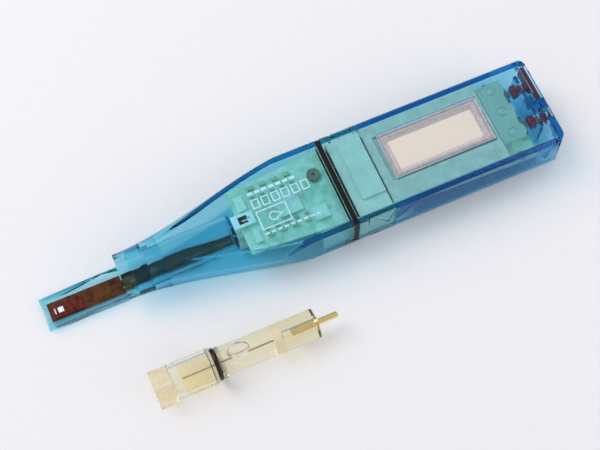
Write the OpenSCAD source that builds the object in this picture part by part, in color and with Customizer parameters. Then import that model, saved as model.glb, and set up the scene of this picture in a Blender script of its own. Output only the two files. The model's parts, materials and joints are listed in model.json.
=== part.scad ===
// Pocket pH meter with a see-through case, and its removable reference cartridge.
// Millimetres. The meter lies on its flat back, display up: the sensor tip points along -X,
// the button end along +X, and Z = 0 is the plane of the back.

/* [Body] */
// Width of the case across the display
body_width = 32.6; // [27:0.2:39.2]
// Thickness of the case, back to front
body_height = 15.3; // [12.8:0.1:18.4]
// Thickness of the side and end walls
side_wall = 2; // [1.6:0.1:2.4]
// Thickness of the front and back faces
skin = 1.5; // [1.2:0.1:1.8]
// Rounding of the long edges of the case
edge_radius = 1.5; // [1:0.1:2]
// Rounding of the case corners at the button end, seen from the front
end_radius = 3.2; // [2:0.2:4]

/* [Sensor nose] */
// Length of the open sensor tongue
tongue_length = 26.5; // [22:0.5:32]
// Width of the sensor tongue
tongue_width = 10.5; // [9:0.1:12]
// Height of the tongue rims at the very tip
tip_height = 3.1; // [2.6:0.1:3.8]
// Length of the mouth ring behind the tongue
mouth_length = 9; // [7.5:0.5:11]
// Wall of the mouth ring around the bore
mouth_wall = 1.55; // [1.3:0.05:1.8]
// Width of the sensor strip
strip_width = 7; // [6:0.2:8.4]
// Length of the cartridge sleeve behind the mouth ring
sleeve_length = 29.5; // [24.5:0.5:35.5]
// Length of the electronics bay between the sleeve and the gasket
board_bay = 35; // [29:0.5:42]
// Straight part of the nose in front of the gasket
shoulder_length = 5; // [4:0.5:8]

/* [Joint and seal] */
// Length of the collar behind the gasket
collar_length = 12.9; // [10.8:0.1:15.5]
// Thickness of the rubber gasket
gasket_thickness = 1.8; // [1.5:0.1:2.2]
// Gap between the spigot and the case that slides over it
slide_gap = 0.2; // [0.15:0.05:0.3]

/* [Display] */
// Length of the display window
window_length = 35.6; // [29.6:0.2:42.8]
// Width of the display window
window_width = 16.6; // [13.8:0.2:19]
// How far the window sits off the centre line
window_shift = 1.4; // [0:0.1:2]

/* [Buttons] */
// Length of the bay between the display window and the button end
button_bay = 20.4; // [18:0.2:24.6]
// Width of the power button
power_width = 12.8; // [10.6:0.2:15]
// Width of the calibration button
calibrate_width = 3.4; // [2.8:0.1:4]
// Distance between the two push rods
button_pitch = 12.2; // [11:0.1:14]
// Travel of each button
button_travel = 0.8; // [0.5:0.1:1]

/* [Cartridge] */
// Length of the cartridge head
head_length = 6; // [5:0.2:7.2]
// Length of the front chamber between head and O-ring
chamber_length = 13.8; // [11.5:0.1:16.5]
// Diameter of the contact pin
pin_diameter = 2; // [1.7:0.1:2.4]
// Free length of the contact pin
pin_length = 6.8; // [5.7:0.1:8]
// Distance from the meter's centre line to the cartridge lying beside it
cartridge_offset = 38.2; // [34:0.2:46]
// How far the cartridge head lies behind the sensor tip
cartridge_setback = 22.8; // [10:0.2:35]

/* [Hidden] */

round_fn = 96;
small_fn = 48;
tiny = 0.01;
fit_gap = 0.02;
mark_height = 0.12;
mark_line = 0.4;

// heights
axis_z = body_height / 2;
inner_top = body_height - skin;
board_thickness = 1;
board_top = inner_top - 1.4;
board_bottom = board_top - board_thickness;
strip_thickness = 0.75;
strip_bottom = skin - strip_thickness;
flex_thickness = 0.3;

// stations along the meter, counted from the sensor tip
mouth_end = tongue_length + mouth_length;
sleeve_end = mouth_end + sleeve_length;
front_end = sleeve_end + board_bay;
flare_start = tongue_length + 0.5;
flare_end = front_end - shoulder_length;
neck_length = 5.5;
neck_end = mouth_end + neck_length;
gasket_end = front_end + gasket_thickness;
collar_start = gasket_end + 0.1;
collar_end = collar_start + collar_length;
inner_half = body_width / 2 - side_wall;

// radii around the nose axis
half_diagonal = sqrt(pow(body_width / 2, 2) + pow(axis_z, 2));
mouth_radius = axis_z - mouth_wall;
front_radius = mouth_radius - 0.2;
sleeve_radius = axis_z - skin - flex_thickness - 0.05;
barrel_bore = sleeve_radius - 0.85;
barrel_radius = barrel_bore - 0.1;
seal_bore = barrel_bore + 0.35;
ring_section = 0.75;
ring_radius = barrel_radius + 0.55 - ring_section;
neck_radius = mouth_radius + 0.5;

// battery tray
frame_half = inner_half - slide_gap;
frame_wall = 1.5;
frame_floor = skin + 0.15;
cell_radius = frame_half - frame_wall - 2.6;
cell_thickness = 3.2;
cells_bottom = frame_floor + 1.2;
cells_top = cells_bottom + 2 * cell_thickness;
cells_at = front_end + cell_radius - 1.8;
frame_top = board_bottom - 0.8;
frame_start = front_end - 10;
frame_end = cells_at + cell_radius + 2;

// display
window_start = collar_end + 4.2;
window_end = window_start + window_length;
body_length = window_end + button_bay;
lens_gap = 0.05;
lens_thickness = 1;
lens_top = body_height - 0.15;
bezel_top = lens_top - lens_thickness;
lcd_top = bezel_top - 1.2;
lcd_thickness = 2;
lcd_bottom = lcd_top - lcd_thickness;
display_board_top = lcd_bottom - 1.5;
display_board_bottom = display_board_top - 1.2;
display_board_start = frame_end + 1.4;
display_board_end = body_length - 9;
header_z = display_board_bottom - 1.3;

// buttons
rod_z = display_board_top + 1.45;
rod = 2.4;
flange = 4;
power_y = inner_half - 0.6 - power_width / 2;
calibrate_y = power_y - button_pitch;
cap_height = 4.6;
cap_gap = 0.15;
cap_start = body_length - side_wall - 0.1;
cap_end = body_length - 0.3;
flange_start = body_length - 7.7;
flange_end = body_length - 5.8;
guide_start = flange_end + 0.4;
guide_end = guide_start + 1.2;
switch_tip = flange_start - button_travel - 0.05;
switch_start = switch_tip - 4.4;

// cartridge
head_start = cartridge_setback;
chamber_start = head_start + head_length;
chamber_end = chamber_start + chamber_length;
groove_width = 2 * ring_section + 0.1;
barrel_start = chamber_end + groove_width;
ring_at = chamber_end + groove_width / 2;
seal_at = mouth_end - 4.3;
barrel_end = ring_at + sleeve_end - seal_at;
cartridge_z = front_radius + 0.1;
pin_radius = pin_diameter / 2;
shank_radius = pin_radius + 0.3;
plug_start = barrel_end - 15;
plug_end = plug_start + 2.8;

function x_at(u) = u - body_length / 2;
function smooth(t) = let (c = min(1, max(0, t))) c * c * (3 - 2 * c);
function nose_radius(u) =
    axis_z + (half_diagonal - axis_z) * smooth((u - flare_start) / (flare_end - flare_start));

// ---- shared shapes ----

// box between two stations, two widths and two heights
module block(u0, u1, y0, y1, z0, z1) {
    translate([x_at(u0), y0, z0])
        cube([u1 - u0, y1 - y0, z1 - z0]);
}

// round bar along the meter
module rod_x(r, u0, u1, y = 0, z = axis_z, fn = round_fn) {
    translate([x_at(u0), y, z])
        rotate([0, 90, 0])
            cylinder(h = u1 - u0, r = r, $fn = fn);
}

// upright round bar
module rod_z(r, u, y, z0, z1, fn = small_fn) {
    translate([x_at(u), y, z0])
        cylinder(h = z1 - z0, r = r, $fn = fn);
}

// flat rectangle with round corners
module rounded_rect(w, h, r) {
    square([w - 2 * r, h], center = true);
    square([w, h - 2 * r], center = true);
    for (sx = [-1, 1])
        for (sy = [-1, 1])
            translate([sx * (w / 2 - r), sy * (h / 2 - r)])
                circle(r = r, $fn = small_fn);
}

// rounded bar with the cross-section of the case, all around smaller by inset
module case_bar(u0, u1, inset_y = 0, inset_z = 0, r = edge_radius) {
    translate([x_at(u0), 0, axis_z])
        rotate([90, 0, 90])
            linear_extrude(height = u1 - u0)
                rounded_rect(body_width - 2 * inset_y, body_height - 2 * inset_z, r);
}

// round body that swells from the mouth ring to the width of the case
module nose_turning(u0, u1, inset = 0) {
    steps = 48;
    side = [for (i = [0 : steps])
        let (u = u0 + (u1 - u0) * i / steps)
            [nose_radius(u) - inset, u - u0]];
    translate([x_at(u0), 0, axis_z])
        rotate([0, 90, 0])
            rotate_extrude($fn = round_fn)
                polygon(concat([[0, 0]], side, [[0, u1 - u0]]));
}

// ring-shaped rib around the case, used to cut seams and lines
module seam_ring(u0, u1, depth) {
    difference() {
        case_bar(u0, u1, -1, -1);
        case_bar(u0 - 1, u1 + 1, depth, depth);
    }
}

// ---- front half ----

// Tongue, mouth ring and the sleeve that receives the cartridge
module probe_tip() {
    strip_slot = strip_width / 2 + 0.05;
    color([0.15, 0.55, 0.75, 0.5])
        difference() {
            union() {
                intersection() {
                    block(0, tongue_length + 1, -tongue_width / 2, tongue_width / 2, 0, axis_z);
                    translate([x_at(0), 0, 0])
                        rotate([90, 0, 0])
                            linear_extrude(height = body_width, center = true)
                                polygon([[0, 0.3], [0.6, 0], [tongue_length + 1, 0],
                                         [tongue_length + 1, axis_z * 0.68], [0, tip_height]]);
                }
                intersection() {
                    nose_turning(tongue_length, mouth_end);
                    case_bar(tongue_length, mouth_end);
                }
                rod_x(neck_radius - fit_gap, mouth_end - tiny, neck_end);
                rod_x(sleeve_radius, neck_end - 1, sleeve_end);
            }
            rod_x(mouth_radius, -1, seal_at - 0.9);
            rod_x(seal_bore, 0, mouth_end);
            rod_x(barrel_bore, 0, sleeve_end - 1);
            rod_x(shank_radius + 0.4, 0, sleeve_end + 1);
            block(1.7, tongue_length - 0.1, -strip_slot, strip_slot, strip_bottom, axis_z);
            block(tongue_length - 0.5, mouth_end - 0.2, -strip_slot, strip_slot,
                  strip_bottom, skin + 0.06);
            block(mouth_end - 4, neck_end + 1, -strip_slot, strip_slot,
                  skin, skin + flex_thickness + 0.05);
        }
}

// Bottle-shaped shell between the mouth ring and the gasket
module nose_shell() {
    color([0.15, 0.55, 0.75, 0.5])
        difference() {
            intersection() {
                nose_turning(mouth_end, front_end);
                case_bar(mouth_end, front_end);
            }
            intersection() {
                nose_turning(neck_end - 1, front_end + 1, 1.8);
                case_bar(neck_end, front_end + 1, side_wall, skin, 0.4);
            }
            rod_x(neck_radius, mouth_end - 1, neck_end + tiny);
            block(mouth_end - 1, neck_end + 1, -strip_width / 2, strip_width / 2,
                  skin, skin + flex_thickness + 0.05);
            seam_ring(front_end - 1.9, front_end - 1.6, 0.2);
        }
}

// Plain printed marks on the front of the nose, where a label would be
module printed_marks() {
    z0 = body_height;
    z1 = body_height + mark_height;
    mark_start = sleeve_end + 8;
    box_length = 2.6;
    box_pitch = 3.4;
    color([0.95, 0.97, 0.97]) {
        for (i = [0 : 5])
            mark_frame(mark_start + i * box_pitch, mark_start + i * box_pitch + box_length,
                       1.2, 4.6, mark_line, z0, z1);
        for (i = [0 : 6])
            block(mark_start + i * 2.4, mark_start + i * 2.4 + 1.8, 6.2, 7.2, z0, z1);
        for (i = [0 : 8])
            block(mark_start + i * 2.2, mark_start + i * 2.2 + 1.5, -8.4, -7.8, z0, z1);
        mark_frame(mark_start, mark_start + 10.2, -6.6, 0.2, mark_line, z0, z1);
        translate([x_at(mark_start + 5.1), -3.2, z0])
            linear_extrude(height = mark_height)
                difference() {
                    drop_outline(1.6);
                    drop_outline(1.6 - mark_line);
                }
    }
}

// Water drop with a round belly of radius r, its point towards the button end
module drop_outline(r) {
    circle(r = r, $fn = small_fn);
    polygon([[0, r], [r * 2, 0], [0, -r]]);
}

// Printed rectangle drawn as an outline
module mark_frame(u0, u1, y0, y1, line, z0, z1) {
    difference() {
        block(u0, u1, y0, y1, z0, z1);
        block(u0 + line, u1 - line, y0 + line, y1 - line, z0 - 1, z1 + 1);
    }
}

// Brown ceramic strip that carries the sensor chip
module sensor_strip() {
    color([0.36, 0.2, 0.1])
        block(1.75, mouth_end - 0.25, -strip_width / 2, strip_width / 2, strip_bottom, skin);
}

// Dark red potting around the sensor chip, with a window for the chip
module sensor_encapsulation() {
    color([0.3, 0.05, 0.05])
        difference() {
            block(2.9, 13, -2.5, 2.5, skin, skin + 0.35);
            block(4.5, 6.5, -1, 1, skin - 1, skin + 1);
            block(3.4, 3.9, -1.1, 1.1, skin - 1, skin + 1);
        }
}

// Ion-sensitive chip
module isfet_chip() {
    color([0.9, 0.9, 0.92])
        block(4.6, 6.4, -0.9, 0.9, skin, skin + 0.3);
}

// Slim temperature-sensing chip in front of it
module temperature_chip() {
    color([0.8, 0.8, 0.82])
        block(3.45, 3.85, -1, 1, skin, skin + 0.25);
}

// Dark ribbon that carries the sensor signals below the sleeve
module sensor_flex() {
    half = strip_width / 2 - 0.2;
    narrow = half * 0.55;
    bend = mouth_end + (sleeve_end - mouth_end) * 0.45;
    color([0.12, 0.12, 0.12])
        translate([0, 0, skin])
            linear_extrude(height = flex_thickness)
                polygon([[x_at(mouth_end - 3.8), -half], [x_at(bend), -half],
                         [x_at(sleeve_end - 4), -narrow], [x_at(sleeve_end + 1), -narrow],
                         [x_at(sleeve_end + 1), narrow], [x_at(sleeve_end - 4), narrow],
                         [x_at(bend), half], [x_at(mouth_end - 3.8), half]]);
}

// Connector at the end of the ribbon, standing on the floor of the case
module flex_connector() {
    wide = strip_width / 2 + 1;
    color([0.85, 0.85, 0.8])
        difference() {
            block(sleeve_end, sleeve_end + 5, -wide, wide, skin, axis_z - 2.4);
            block(sleeve_end - 1, sleeve_end + 1, -wide + 1, wide - 1,
                  skin - 1, skin + flex_thickness);
        }
}

// White block that holds the contact for the cartridge pin
module socket_housing() {
    u0 = sleeve_end;
    u1 = sleeve_end + 7.4;
    z1 = inner_top - 0.2;
    color([0.93, 0.94, 0.92])
        difference() {
            block(u0, u1, -2.3, 2.3, axis_z - 2.4, z1);
            rod_x(pin_radius + 0.6, u0 - 1, u1 - 0.6, fn = small_fn);
            block(u0 + 2.2, u0 + 5.2, -1.3, 1.3, z1 - 1.2, z1 + 1);
            block(u0 + 3.2, u1 - 1.2, -0.5, 0.5, z1 - 1.2, z1 + 1);
        }
}

// Gold-plated contact sleeve for the cartridge pin
module pin_socket() {
    color([0.85, 0.65, 0.25])
        difference() {
            rod_x(pin_radius + 0.6, sleeve_end, sleeve_end + 6.8, fn = small_fn);
            rod_x(pin_radius + 0.05, sleeve_end - 1, sleeve_end + 6.2, fn = small_fn);
        }
}

// Main circuit board just below the front face of the nose
module main_board() {
    narrow = inner_half - 3.2;
    broad = inner_half - 0.7;
    u0 = sleeve_end + 2;
    u1 = front_end - 0.3;
    color([0.75, 0.85, 0.75])
        difference() {
            translate([0, 0, board_bottom])
                linear_extrude(height = board_thickness)
                    polygon([[x_at(u0), -narrow], [x_at(u1), -broad],
                             [x_at(u1), broad], [x_at(u0), narrow]]);
            block(u0 - 1, sleeve_end + 7.4, -2.3, 2.3, 0, body_height);
        }
}

// Integrated circuits and other large parts on the main board
module board_chips() {
    u = sleeve_end;
    color([0.9, 0.92, 0.88]) {
        block(u + 3.3, u + 6.4, 2.9, 8.2, board_top, board_top + 1);
        block(u + 4.8, u + 7, -9, -4.4, board_top, board_top + 1);
        block(front_end - 20, front_end - 12, -4, 4, board_top, board_top + 0.9);
        block(front_end - 10, front_end - 5, -9.5, -5, board_top, board_top + 0.9);
    }
}

// Small capacitors on the main board
module board_capacitors() {
    color([0.72, 0.62, 0.45])
        for (u = [sleeve_end + 9 : 4.2 : front_end - 13])
            for (y = [-7.8, 9.6])
                block(u, u + 2, y - 0.6, y + 0.6, board_top, board_top + 0.7);
}

// Small resistors on the main board
module board_resistors() {
    color([0.15, 0.15, 0.15])
        for (u = [sleeve_end + 9 : 3.4 : front_end - 12])
            for (y = [-5.6, 6.2])
                block(u, u + 1.2, y - 0.4, y + 0.4, board_top, board_top + 0.45);
}

// Small round sounder near the joint
module buzzer() {
    color([0.2, 0.2, 0.18])
        difference() {
            rod_z(2.2, front_end - 4.6, 5.6, board_top, board_top + 1.1);
            rod_z(0.5, front_end - 4.6, 5.6, board_top + 0.6, board_top + 2);
        }
}

// Battery tray and spigot that the rear half slides over
module inner_frame() {
    color([0.88, 0.9, 0.88])
        difference() {
            union() {
                block(frame_start, front_end, -inner_half + 0.6, inner_half - 0.6,
                      skin, frame_top);
                block(frame_start, frame_start + 3, -inner_half + 2, inner_half - 2,
                      skin, board_bottom);
                block(front_end - 1, frame_end, -frame_half, frame_half, frame_floor, frame_top);
            }
            block(frame_start + 3, frame_end - 1.5, -frame_half + frame_wall,
                  frame_half - frame_wall, cells_bottom - 0.2, frame_top + 1);
        }
}

// Two stacked coin cells
module coin_cells() {
    color([0.75, 0.75, 0.76])
        for (z = [cells_bottom, cells_bottom + cell_thickness])
            translate([x_at(cells_at), 0, z]) {
                cylinder(h = cell_thickness - 0.5, r = cell_radius, $fn = round_fn);
                cylinder(h = cell_thickness, r = cell_radius - 1.6, $fn = round_fn);
            }
}

// Flat contact below the cells
module battery_contact_minus() {
    color([0.8, 0.78, 0.7])
        block(cells_at - cell_radius + 2, cells_at + cell_radius - 2, -3, 3,
              cells_bottom - 0.2, cells_bottom);
}

// Bridge contact over the cells, clipped to both sides of the tray
module battery_contact_plus() {
    reach = frame_half - frame_wall;
    color([0.8, 0.78, 0.7]) {
        block(cells_at - 3, cells_at + 3, -reach, reach, cells_top, cells_top + 0.3);
        for (s = [-1, 1])
            block(cells_at - 3, cells_at + 3, s * (reach - 0.15) - 0.15, s * (reach - 0.15) + 0.15,
                  cells_bottom + 1, cells_top + 0.1);
    }
}

// Pin strip on the end of the tray that plugs into the display board
module board_header() {
    color([0.8, 0.7, 0.35]) {
        block(frame_end, frame_end + 0.8, -8, 8, header_z - 1, header_z + 1);
        for (i = [-2.5 : 1 : 2.5])
            block(frame_end + 0.5, frame_end + 6, i * 2.54 - 0.3, i * 2.54 + 0.3,
                  header_z - 0.3, header_z + 0.3);
    }
}

// Black rubber gasket around the spigot
module gasket() {
    color([0.05, 0.05, 0.05])
        difference() {
            case_bar(front_end, gasket_end, 0.1, 0.1);
            block(front_end - 1, gasket_end + 1, -frame_half, frame_half, frame_floor, frame_top);
        }
}

// ---- rear half ----

// Collar with its recessed grip panels
module collar() {
    panel_start = collar_start + 3.1;
    color([0.2, 0.6, 0.8, 0.5])
        difference() {
            case_bar(collar_start, collar_end);
            case_bar(collar_start - 1, collar_end + 1, side_wall, skin, 0.4);
            seam_ring(collar_end - 0.3, collar_end + 1, 0.2);
            for (s = [-1, 1]) {
                block(panel_start, panel_start + 0.7,
                      s * body_width / 2 - 0.7, s * body_width / 2 + 0.7, -1, body_height + 1);
                difference() {
                    block(panel_start, collar_end + 1,
                          s * body_width / 2 - 0.3, s * body_width / 2 + 0.3,
                          0.8, body_height - 0.8);
                    translate([x_at(collar_end - 2.6), 0, axis_z - 1.2])
                        rotate([90, 0, 0])
                            cylinder(h = body_width + 4, r = 0.6, center = true, $fn = small_fn);
                }
            }
        }
}

// Stiffening plate below the front face of the collar, on a thinner sheet that hides the cells
module case_plate() {
    color([0.85, 0.9, 0.88]) {
        block(collar_start + 4.4, collar_end - 0.4, -inner_half + 5.4, inner_half - 2.5,
              inner_top - 1, inner_top);
        block(collar_start + 1.2, collar_end - 0.2, -inner_half + 0.4, inner_half - 0.4,
              inner_top - 1.6, inner_top - 0.9);
    }
}

// Rear case with the display cut-out and the two button openings
module rear_case() {
    half = window_width / 2;
    color([0.15, 0.55, 0.75, 0.5])
        difference() {
            union() {
                difference() {
                    intersection() {
                        case_bar(collar_end, body_length);
                        translate([0, 0, -1])
                            linear_extrude(height = body_height + 2)
                                translate([x_at(collar_end), 0])
                                    rear_outline();
                    }
                    case_bar(collar_end - 1, body_length - side_wall, side_wall, skin, 0.4);
                }
                for (s = [-1, 1])
                    block(display_board_start, display_board_end,
                          s * (inner_half - 0.95) - 1.05, s * (inner_half - 0.95) + 1.05,
                          skin - 0.1, display_board_bottom);
                block(guide_end, body_length - side_wall + 0.1,
                      calibrate_y + rod, power_y - rod - 1.4, skin - 0.1, inner_top + 0.1);
            }
            block(window_start, window_end, window_shift - half, window_shift + half,
                  inner_top - 1, body_height + 1);
            button_hole(power_y, power_width);
            button_hole(calibrate_y, calibrate_width);
            screw_places()
                rod_z(0.6, 0, 0, display_board_bottom - 4, display_board_bottom + 1);
            seam_ring(collar_end - 1, collar_end + 0.15, 0.12);
        }
}

// Outline of the rear case seen from the front
module rear_outline() {
    reach = body_length - collar_end;
    square_end = reach - end_radius;
    translate([0, -body_width / 2])
        square([square_end, body_width]);
    translate([0, -body_width / 2 + end_radius])
        square([reach, body_width - 2 * end_radius]);
    for (s = [-1, 1])
        translate([square_end, s * (body_width / 2 - end_radius)])
            circle(r = end_radius, $fn = round_fn);
}

// Opening in the end wall for a button of the given width
module button_hole(y, width) {
    block(body_length - side_wall - 1, body_length + 1,
          y - width / 2 - cap_gap, y + width / 2 + cap_gap,
          rod_z - cap_height / 2 - cap_gap, rod_z + cap_height / 2 + cap_gap);
}

// Places of the two board screws
module screw_places() {
    for (s = [-1, 1])
        translate([switch_start - 1.4, s * (inner_half - 1), 0])
            children();
}

// Clear lens over the display
module window_lens() {
    half = window_width / 2 - lens_gap;
    color([0.9, 0.93, 0.93, 0.4])
        block(window_start + lens_gap, window_end - lens_gap,
              window_shift - half, window_shift + half, bezel_top, lens_top);
}

// Grey bezel with sloping sides between lens and display
module display_bezel() {
    half = window_width / 2 - lens_gap;
    long_top = window_end - window_start - 2.8;
    wide_top = window_width - 3.2;
    color([0.75, 0.76, 0.76])
        difference() {
            block(window_start + lens_gap, window_end - lens_gap,
                  window_shift - half, window_shift + half, lcd_top, bezel_top);
            translate([x_at((window_start + window_end) / 2), window_shift, bezel_top + tiny])
                mirror([0, 0, 1])
                    linear_extrude(height = bezel_top - lcd_top + 2 * tiny,
                                   scale = [1 - 2.4 / long_top, 1 - 2 / wide_top])
                        square([long_top, wide_top], center = true);
        }
}

// Liquid crystal display
module lcd_panel() {
    half = window_width / 2 - 0.4;
    color([0.87, 0.84, 0.79])
        block(window_start + 0.5, window_end - 0.5, window_shift - half, window_shift + half,
              lcd_bottom, lcd_top);
}

// Rubber contact strips below the long edges of the display
module contact_strips() {
    reach = window_width / 2 - 1.6;
    color([0.2, 0.2, 0.22])
        for (s = [-1, 1])
            block(max(display_board_start + 0.6, window_start + 0.8), window_end - 3,
                  window_shift + s * reach - 0.9, window_shift + s * reach + 0.9,
                  display_board_top, lcd_bottom);
}

// White frame that holds the display on its board
module display_carrier() {
    half = window_width / 2 - 0.4;
    color([0.86, 0.9, 0.86])
        difference() {
            union() {
                block(display_board_start + 0.2, window_end + 1.4,
                      -inner_half + 0.3, inner_half - 0.3, display_board_top, inner_top - 0.2);
                block(collar_end + 0.3, display_board_start + 1,
                      -inner_half + 0.3, inner_half - 0.3, frame_top + 0.4, inner_top - 0.2);
            }
            block(window_start + 0.5, window_end - 0.5,
                  window_shift - half, window_shift + half,
                  display_board_top - 1, inner_top + 1);
            block(window_start - 1, window_end + 0.1,
                  window_shift - half - 0.5, window_shift + half + 0.5,
                  lcd_top, inner_top + 1);
        }
}

// Circuit board below the display
module display_board() {
    color([0.2, 0.5, 0.35])
        difference() {
            block(display_board_start, display_board_end,
                  -inner_half + 0.1, inner_half - 0.1, display_board_bottom, display_board_top);
            screw_places()
                rod_z(0.6, 0, 0, 0, body_height);
        }
}

// Socket for the pin strip, on the lower side of the display board
module header_socket() {
    color([0.1, 0.1, 0.1])
        difference() {
            block(display_board_start, display_board_start + 6, -8.2, 8.2,
                  header_z - 1.3, display_board_bottom);
            for (i = [-2.5 : 1 : 2.5])
                block(display_board_start - 1, display_board_start + 5.2,
                      i * 2.54 - 0.45, i * 2.54 + 0.45, header_z - 0.45, header_z + 0.45);
        }
}

// Two push switches behind the buttons
module tact_switches() {
    color([0.3, 0.3, 0.32])
        for (y = [power_y, calibrate_y]) {
            block(switch_start, switch_tip - 0.9, y - 3, y + 3,
                  display_board_top, display_board_top + 2.8);
            rod_x(1.2, switch_tip - 1, switch_tip, y, rod_z, small_fn);
        }
}

// Translucent cover with three domes above the switches
module switch_cover() {
    u0 = window_end + 1.7;
    u1 = body_length - 10.8;
    near = -inner_half + 4.7;
    far = inner_half - 1.9;
    dome = 2.9;
    dome_pitch = (far - near) / 2 - dome;
    z0 = display_board_top + 2.9;
    z1 = inner_top - 0.5;
    color([0.7, 0.8, 0.75, 0.7])
        difference() {
            union() {
                block(u0, u1, near, far, z0, z1);
                for (y = [near, far - 1.4])
                    block(u0, u0 + 3, y, y + 1.4, display_board_top, z1);
                for (i = [0 : 2])
                    rod_z(dome, u1 - 1.9, near + dome + i * dome_pitch, z0, z1);
            }
            for (i = [0 : 2])
                rod_z(1.7, u1 - 3.4, near + dome + i * dome_pitch, z1 - 0.4, z1 + 1);
        }
}

// Guide plate that keeps the push rods straight
module button_guide() {
    gap = 0.3;
    color([0.2, 0.6, 0.8])
        difference() {
            block(guide_start, guide_end, calibrate_y - 3.5, power_y + 4, skin, inner_top);
            for (y = [power_y, calibrate_y])
                block(guide_start - 1, guide_end + 1, y - rod / 2 - gap, y + rod / 2 + gap,
                      rod_z - rod / 2 - gap, rod_z + rod / 2 + gap);
        }
}

// Screws that hold the display board
module board_screws() {
    color([0.7, 0.7, 0.72])
        screw_places() {
            rod_z(0.6, 0, 0, display_board_bottom - 3.5, display_board_top + 0.1);
            difference() {
                rod_z(1, 0, 0, display_board_top, display_board_top + 0.7);
                translate([x_at(0), 0, display_board_top + 0.65])
                    cube([1.4, 0.3, 0.5], center = true);
            }
        }
}

// Push rod with a cap of the given width
module push_button(y, width) {
    color([0.5, 0.08, 0.1]) {
        block(cap_start, cap_end, y - width / 2, y + width / 2,
              rod_z - cap_height / 2, rod_z + cap_height / 2);
        block(flange_end - 0.5, cap_start + 0.5, y - rod / 2, y + rod / 2,
              rod_z - rod / 2, rod_z + rod / 2);
        block(flange_start, flange_end, y - flange / 2, y + flange / 2,
              rod_z - rod / 2, rod_z + rod / 2 + 0.5);
    }
}

// Wide red power button
module power_button() {
    push_button(power_y, power_width);
}

// Narrow red calibration button
module calibrate_button() {
    push_button(calibrate_y, calibrate_width);
}

// ---- reference cartridge ----

// round bar on the cartridge axis
module cartridge_rod(r, u0, u1, fn = round_fn) {
    rod_x(r, u0, u1, -cartridge_offset, cartridge_z, fn);
}

// Clear body: front chamber, ring groove and barrel
module cartridge_barrel() {
    color([0.95, 0.95, 0.88, 0.45])
        difference() {
            union() {
                cartridge_rod(front_radius, chamber_start, chamber_end);
                cartridge_rod(ring_radius - ring_section, chamber_end - 1, barrel_start + 1);
                cartridge_rod(barrel_radius, barrel_start, barrel_end);
            }
            cartridge_rod(front_radius - 1.3, chamber_start - 1, chamber_end - 1.2);
            cartridge_rod(0.3, chamber_end - 2, barrel_start + 2, small_fn);
            cartridge_rod(barrel_radius - 0.9, barrel_start + 1, plug_end);
            cartridge_rod(shank_radius, plug_end - 1, barrel_end + 1, small_fn);
        }
}

// Frosted head with a one-sided grip step
module cartridge_head() {
    step_radius = front_radius + 0.75;
    color([0.93, 0.92, 0.82, 0.8])
        difference() {
            union() {
                cartridge_rod(front_radius, head_start, chamber_start);
                intersection() {
                    cartridge_rod(step_radius, head_start, chamber_start);
                    block(head_start - 1, chamber_start + 1,
                          -cartridge_offset - 2 * step_radius, -cartridge_offset - front_radius * 0.66,
                          0, body_height);
                }
            }
            cartridge_rod(0.8, head_start - 1, chamber_start + 1, small_fn);
        }
}

// Black O-ring
module cartridge_o_ring() {
    color([0.04, 0.03, 0.03])
        translate([x_at(ring_at), -cartridge_offset, cartridge_z])
            rotate([0, 90, 0])
                rotate_extrude($fn = round_fn)
                    translate([ring_radius, 0])
                        circle(r = ring_section, $fn = small_fn);
}

// Porous plug where the reference liquid meets the sample
module junction_plug() {
    color([0.96, 0.95, 0.9])
        cartridge_rod(0.8, head_start + 0.05, chamber_start, small_fn);
}

// Pale yellow gel in the front chamber, below the wire
module salt_gel() {
    color([0.93, 0.9, 0.6, 0.8])
        intersection() {
            cartridge_rod(front_radius - 1.3, chamber_start + 3, chamber_end - 1.2);
            block(chamber_start, chamber_end, -cartridge_offset - front_radius,
                  -cartridge_offset + front_radius, 0, cartridge_z - 0.25);
        }
}

// Thin silver wire on the axis
module silver_wire() {
    color([0.6, 0.6, 0.62])
        cartridge_rod(0.2, chamber_start + 3.4, plug_start, small_fn);
}

// Reference liquid in the barrel, with its air bubble
module electrolyte() {
    reach = barrel_radius - 0.9 - fit_gap;
    bubble = reach / 2;
    color([0.95, 0.95, 0.85, 0.4])
        difference() {
            cartridge_rod(reach, barrel_start + 1, plug_start);
            cartridge_rod(0.2, barrel_start, plug_start + 1, small_fn);
            rod_x(bubble, barrel_start + 3.2, barrel_start + 10.8,
                  -cartridge_offset + bubble * 0.45, cartridge_z + bubble * 0.8, small_fn);
        }
}

// Cream plug that closes the barrel
module inner_plug() {
    color([0.93, 0.9, 0.78])
        cartridge_rod(barrel_radius - 0.9 - fit_gap, plug_start, plug_end);
}

// Gold-plated stepped contact pin
module contact_pin() {
    color([0.85, 0.65, 0.2]) {
        cartridge_rod(shank_radius, plug_end + 3.4, barrel_end + 0.6, small_fn);
        cartridge_rod(pin_radius, barrel_end + 0.5, barrel_end + 0.6 + pin_length, small_fn);
    }
}

probe_tip();
nose_shell();
printed_marks();
sensor_strip();
sensor_encapsulation();
isfet_chip();
temperature_chip();
sensor_flex();
flex_connector();
socket_housing();
pin_socket();
main_board();
board_chips();
board_capacitors();
board_resistors();
buzzer();
inner_frame();
coin_cells();
battery_contact_minus();
battery_contact_plus();
board_header();
gasket();
collar();
case_plate();
rear_case();
window_lens();
display_bezel();
lcd_panel();
contact_strips();
display_carrier();
display_board();
header_socket();
tact_switches();
switch_cover();
button_guide();
board_screws();
power_button();
calibrate_button();
cartridge_barrel();
cartridge_head();
cartridge_o_ring();
junction_plug();
salt_gel();
silver_wire();
electrolyte();
inner_plug();
contact_pin();
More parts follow.
